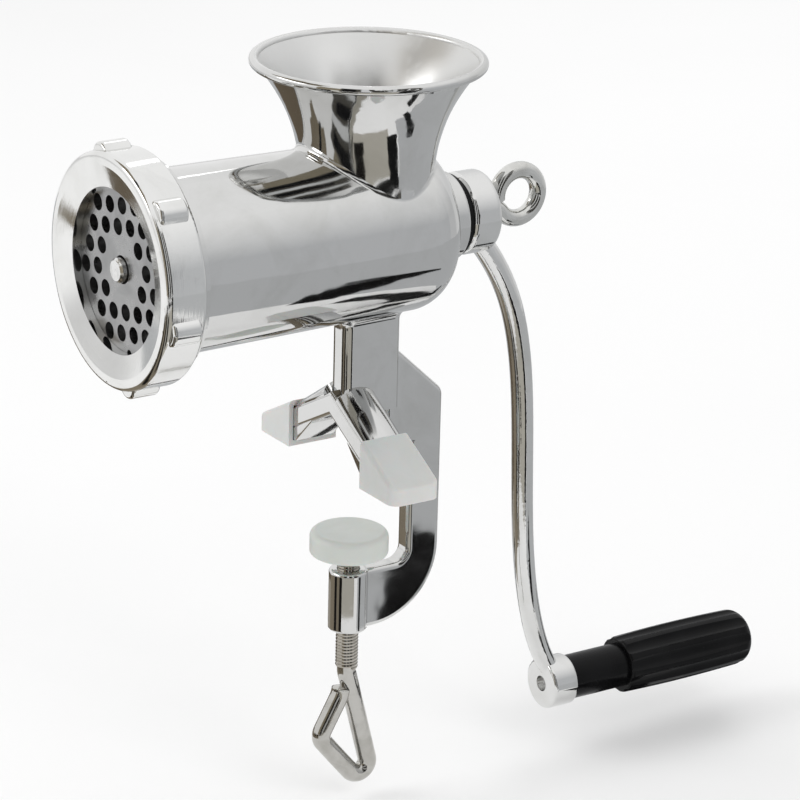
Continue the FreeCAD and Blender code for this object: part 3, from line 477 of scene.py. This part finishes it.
def attach(piece, finish, body):
    """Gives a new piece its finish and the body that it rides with."""
    piece.data.materials.append(finish)
    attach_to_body(piece, body)


# Screw threads

def cut_thread(name, core, crest, pitch, low, high):
    """A right hand ridge wound round the Z axis, half sunk in its core."""
    half = pitch * THREAD_HALF
    turned = (math.radians(90), 0.0, 0.0)
    bpy.ops.object.select_all(action="DESELECT")
    bpy.ops.mesh.primitive_circle_add(vertices=4, radius=half, location=(core, 0.0, low), rotation=turned)
    ridge = bpy.context.object
    ridge.name = name
    ridge.scale.x = (crest - core) / half
    settle()
    winding = ridge.modifiers.new("winding", "SCREW")
    winding.angle = math.radians(360)
    winding.screw_offset = pitch
    winding.iterations = int((high - low) / pitch)
    winding.steps = THREAD_STEPS
    winding.render_steps = THREAD_STEPS
    bpy.ops.object.modifier_apply(modifier=winding.name)
    bpy.ops.object.mode_set(mode="EDIT")
    bpy.ops.mesh.select_all(action="SELECT")
    bpy.ops.mesh.remove_doubles(threshold=0.000001)
    bpy.ops.mesh.select_all(action="DESELECT")
    bpy.ops.mesh.select_non_manifold()
    bpy.ops.mesh.fill_holes(sides=4)
    face_outwards()
    smooth(35)
    return ridge


def lay_along_barrel(ridge):
    """Turns the thread just cut from the Z axis to the barrel's own axis."""
    ridge.rotation_euler = (math.radians(-90), 0.0, 0.0)
    ridge.location = BARREL_AXIS
    settle()
    return ridge


attach(cut_thread("clamp_thread", **CLAMP_THREAD), THREAD, "table_screw")
attach(lay_along_barrel(cut_thread("eye_thread", **EYE_THREAD)), THREAD, "fixing_screw")
attach(lay_along_barrel(cut_thread("spigot_thread", **SPIGOT_THREAD)), RING, "frame")


# Ends of the bent rods

def bend_rod_end(name, centre, bend, rod, first, last):
    """The last bend of a screw's rod, from one angle to another, up to its stem."""
    start = math.radians(first)
    place = (0.0, centre[1] + bend * math.cos(start), centre[2] + bend * math.sin(start))
    bpy.ops.object.select_all(action="DESELECT")
    bpy.ops.mesh.primitive_circle_add(
        vertices=40, radius=rod, fill_type="NGON", location=place, rotation=(start, 0.0, 0.0)
    )
    end = bpy.context.object
    end.name = name
    bpy.ops.object.mode_set(mode="EDIT")
    bpy.ops.mesh.select_all(action="SELECT")
    bpy.ops.mesh.spin(steps=12, angle=math.radians(last - first), center=centre, axis=(-1.0, 0.0, 0.0))
    bpy.ops.mesh.bevel(offset=ROD_END_ROUND, segments=3, affect="EDGES")
    face_outwards()
    settle()
    smooth(40)
    return end


attach(bend_rod_end("eye_end", **EYE_END), EYE, "fixing_screw")
attach(bend_rod_end("loop_end", **LOOP_END), ROD, "table_screw")


# Foot arms

def deepen_foot_arm(name, side):
    """The deep underside of one foot arm, down to the floor of its cap."""
    place = (side * ARM_OUT, YOKE_MIDDLE, ARM_UP)
    bpy.ops.object.select_all(action="DESELECT")
    bpy.ops.mesh.primitive_cube_add(size=1.0, location=place, scale=ARM_SIZE)
    arm = bpy.context.object
    arm.name = name
    settle()
    top_cut = ((0.0, 0.0, ARM_TOP_CUT), (side * YOKE_SLOPE, 0.0, 1.0))
    foot_cut = ((side * ARM_FOOT_CUT[0], 0.0, ARM_FOOT_CUT[1]), (-side, 0.0, -ARM_FOOT_STEEPNESS))
    bpy.ops.object.mode_set(mode="EDIT")
    for point, away in (top_cut, foot_cut):
        bpy.ops.mesh.select_all(action="SELECT")
        bpy.ops.mesh.bisect(plane_co=point, plane_no=away, use_fill=True, clear_outer=True)
    bpy.ops.object.mode_set(mode="OBJECT")
    rounding = arm.modifiers.new("rounding", "BEVEL")
    rounding.width = ARM_EDGE
    rounding.segments = 4
    rounding.limit_method = "ANGLE"
    rounding.angle_limit = math.radians(20)
    bpy.ops.object.modifier_apply(modifier=rounding.name)
    smooth(50)
    return arm


def round_arm_top(name, side):
    """The rounded back of one foot arm, full at the column and low at the cap's mouth."""
    slope = math.atan(YOKE_SLOPE)
    length = (BACK_END - BACK_START) / math.cos(slope)
    middle = (BACK_START + BACK_END) / 2.0
    bpy.ops.object.select_all(action="DESELECT")
    bpy.ops.mesh.primitive_cylinder_add(vertices=64, radius=1.0, depth=length, end_fill_type="NGON")
    back = bpy.context.object
    back.name = name
    bpy.ops.object.mode_set(mode="EDIT")
    bpy.ops.mesh.select_all(action="SELECT")
    bpy.ops.transform.resize(value=(BACK_RISE, YOKE_WIDTH / 2.0, 1.0))
    bpy.ops.mesh.select_all(action="DESELECT")
    bpy.ops.object.mode_set(mode="OBJECT")
    for corner in back.data.vertices:
        corner.select = corner.co.z > 0.0
    bpy.ops.object.mode_set(mode="EDIT")
    bpy.ops.mesh.select_mode(type="FACE")
    bpy.ops.transform.resize(value=(BACK_LOW_SHARE, 1.0, 1.0), center_override=(0.0, 0.0, 0.0))
    bpy.ops.mesh.bevel(offset=BACK_EDGE, segments=2, affect="EDGES")
    face_outwards()
    back.rotation_euler = (0.0, side * (math.radians(90) + slope), 0.0)
    back.location = (side * middle, YOKE_MIDDLE, YOKE_TOP - YOKE_SLOPE * middle - BACK_SINK)
    settle()
    smooth(40)
    return back


for side, word in ((-1.0, "left"), (1.0, "right")):
    attach(deepen_foot_arm("foot_arm_" + word, side), CASTING, "frame")
    attach(round_arm_top("foot_arm_back_" + word, side), CASTING, "frame")


# Studio

def heading(bearing, lift):
    """The direction at a bearing from the front and a lift from the level, in degrees."""
    turn = math.radians(bearing)
    rise = math.radians(lift)
    return Vector((math.sin(turn) * math.cos(rise), -math.cos(turn) * math.cos(rise), math.sin(rise)))


def part_way(ends, place):
    """A value between two ends, for a place from -1 to 1."""
    return ends[0] + (ends[1] - ends[0]) * (place + 1.0) / 2.0


def glow(name, colour, fade):
    """A card's tone, as a mirror shows it, which pales to white between two heights."""
    finish = bpy.data.materials.new(name)
    finish.use_nodes = True
    tree = finish.node_tree
    tree.nodes.clear()
    place = lay(tree, "ShaderNodeTexCoord").outputs["Object"]
    height = lay(tree, "ShaderNodeSeparateXYZ", {0: place}).outputs[2]
    tone = mix_colour(tree, spread(tree, height, fade[0], fade[1]), opaque(colour), opaque(CARD_WHITE))
    shine = lay(tree, "ShaderNodeEmission", {"Color": tone, "Strength": 1.0})
    lay(tree, "ShaderNodeOutputMaterial", {"Surface": shine.outputs[0]})
    return finish


def studio_card(name, turn, rise, colour, reach, fade=NO_FADE):
    """A card that only mirrors see, between two bearings and two rises, and never below the floor."""
    bpy.ops.object.select_all(action="DESELECT")
    bpy.ops.mesh.primitive_grid_add(x_subdivisions=24, y_subdivisions=12, size=2.0)
    card = bpy.context.object
    card.name = name
    level = FLOOR_HEIGHT + CARD_LIFT + (CARD_LONGEST - reach) * CARD_STACKING
    for corner in card.data.vertices:
        away = heading(part_way(turn, corner.co.x), part_way(rise, corner.co.y))
        length = reach
        if away.z < 0.0:
            length = min(reach, (level - CARD_CENTRE) / away.z)
        corner.co = away * length + Vector((0.0, 0.0, CARD_CENTRE))
    card.data.materials.append(glow(name + "_tone", colour, fade))
    for rays in ("camera", "diffuse", "shadow", "transmission", "volume_scatter"):
        setattr(card, "visible_" + rays, False)


def soft_lamp(name, place, aim, size, power):
    """A square soft lamp aimed at a point."""
    lamp = bpy.data.lights.new(name, "AREA")
    lamp.size = size
    lamp.energy = power
    made = bpy.data.objects.new(name, lamp)
    made.location = place
    made.rotation_euler = (Vector(aim) - Vector(place)).to_track_quat("-Z", "Y").to_euler()
    bpy.context.scene.collection.objects.link(made)


def pale_floor():
    """A wide pale floor a little below the grinder."""
    middle = (0.0, 0.0, FLOOR_HEIGHT)
    bpy.ops.object.select_all(action="DESELECT")
    bpy.ops.mesh.primitive_grid_add(x_subdivisions=2, y_subdivisions=2, size=FLOOR_SIZE, location=middle)
    floor = bpy.context.object
    floor.name = "pale_floor"
    finish, tree, shader, place = start_finish(
        "pale_floor", metallic=0.0, Roughness=0.9, Specular_IOR_Level=0.0
    )
    film = use_group(tree, FILM, Vector=place, Patches=3.0)["Mask"]
    colour = mix_colour(tree, film, opaque(grey(0.97)), opaque(grey(0.96)))
    tree.links.new(colour, shader.inputs["Base Color"])
    floor.data.materials.append(finish)


def white_surround():
    """White to the camera and to mirrors, softer as light."""
    world = bpy.data.worlds.new("white_surround")
    bpy.context.scene.world = world
    world.use_nodes = True
    tree = world.node_tree
    tree.nodes.clear()
    path = lay(tree, "ShaderNodeLightPath").outputs
    seen = reckon(tree, "MAXIMUM", path["Is Camera Ray"], path["Is Glossy Ray"])
    seen = reckon(tree, "MAXIMUM", seen, path["Is Transmission Ray"])
    strength = between(tree, seen, low=LIGHT_LEVEL, high=1.0)
    back = lay(tree, "ShaderNodeBackground", {"Color": opaque(grey(1.0)), "Strength": strength})
    lay(tree, "ShaderNodeOutputWorld", {"Surface": back.outputs[0]})


# Cards: name, bearings from the front, rises from the level, tone, reach in metres, and a wall's fade
CARDS = (
    ("brown_ceiling", (-62, 6), (34, 60), (0.24, 0.205, 0.15), 1.05),
    ("black_ceiling_bar", (-26, -15), (34, 62), (0.012, 0.012, 0.012), 1.0),
    ("tan_wall", (9, 32), (-13, 34), (0.30, 0.265, 0.20), 0.99),
    ("dark_room", (30, 111), (-13, 46), (0.095, 0.09, 0.08), 1.0),
    ("black_bar_a", (34, 46), (-13, 40), (0.012, 0.012, 0.013), 0.95),
    ("white_bar_a", (52, 62), (-13, 46), (0.75, 0.76, 0.77), 0.95),
    ("black_bar_b", (66, 76), (-13, 34), (0.012, 0.012, 0.013), 0.94),
    ("white_bar_b", (82, 90), (-13, 46), (0.70, 0.71, 0.72), 0.95),
    ("black_bar_c", (96, 105), (-13, 40), (0.012, 0.012, 0.013), 0.94),
    ("grey_wall", (111, 150), (-13, 50), (0.55, 0.56, 0.575), 1.02, WALL_FADE),
    ("grey_wall_back", (150, 180), (-13, 50), (0.62, 0.625, 0.635), 1.02, WALL_FADE),
    ("pale_wall", (180, 236), (-13, 50), (0.76, 0.765, 0.77), 1.02, WALL_FADE),
    ("dark_skirt", (30, 108), (-20, -14), (0.01, 0.01, 0.01), 0.93),
    ("tan_table", (22, 92), (-52, -21), (0.46, 0.44, 0.39), 0.93),
    ("brown_table", (-34, 22), (-72, -20), (0.22, 0.19, 0.145), 0.94),
    ("brown_table_left", (-100, -62), (-48, -22), (0.13, 0.105, 0.075), 0.94),
    ("brown_table_near", (-100, -62), (-72, -48), (0.36, 0.33, 0.28), 0.94),
    ("black_strip_left", (-26, -10), (-62, -20), (0.012, 0.011, 0.010), 0.93),
    ("black_strip_right", (6, 22), (-58, -17), (0.012, 0.011, 0.010), 0.93),
    ("black_strip_back", (89, 106), (-46, -14), (0.010, 0.010, 0.010), 0.92),
    ("black_strip_side", (30, 47), (-45, -24), (0.012, 0.011, 0.010), 0.92),
    ("brown_table_middle", (-62, -34), (-72, -39), (0.24, 0.205, 0.155), 0.94),
    ("black_corner", (125, 135), (-57, -40), (0.008, 0.008, 0.008), 0.93),
    ("grey_table_back", (108, 298), (-55, -13), (0.50, 0.51, 0.52), 0.96),
    ("dark_edge_back", (142, 282), (-62, -58), (0.02, 0.02, 0.02), 0.92),
)

pale_floor()
white_surround()
soft_lamp("key_lamp", place=(-0.55, -1.15, 1.05), aim=(0.0, 0.0, 0.03), size=0.9, power=6.6)
soft_lamp("side_lamp", place=(1.35, 0.25, 0.95), aim=(0.0, 0.0, 0.0), size=0.8, power=4.0)
soft_lamp("back_lamp", place=(-0.9, 1.1, 1.1), aim=(0.0, 0.0, 0.03), size=0.8, power=4.0)
for card in CARDS:
    studio_card(*card)


# Camera

def set_camera(bearing, lift, roll, aim, away, lens):
    """A camera that looks at a point from a bearing, a lift and a distance, rolled a little."""
    tilt = math.radians(roll)
    back = heading(bearing, lift)
    level = heading(bearing + 90.0, 0.0)
    right = math.cos(tilt) * level + math.sin(tilt) * back.cross(level)
    up = back.cross(right)
    lens_data = bpy.data.cameras.new("photo_camera")
    lens_data.lens = lens
    lens_data.sensor_width = 36.0
    lens_data.clip_start = 0.05
    camera = bpy.data.objects.new("photo_camera", lens_data)
    turn = Matrix((right, up, back)).transposed().to_4x4()
    camera.matrix_world = Matrix.Translation(Vector(aim) + away * back) @ turn
    bpy.context.scene.collection.objects.link(camera)
    bpy.context.scene.camera = camera


# The photograph's viewing angle
set_camera(bearing=56.7, lift=19.9, roll=1.5, aim=(0.0, 0.0205, 0.020), away=1.4, lens=174.5)
bpy.context.scene.view_settings.view_transform = "Standard"
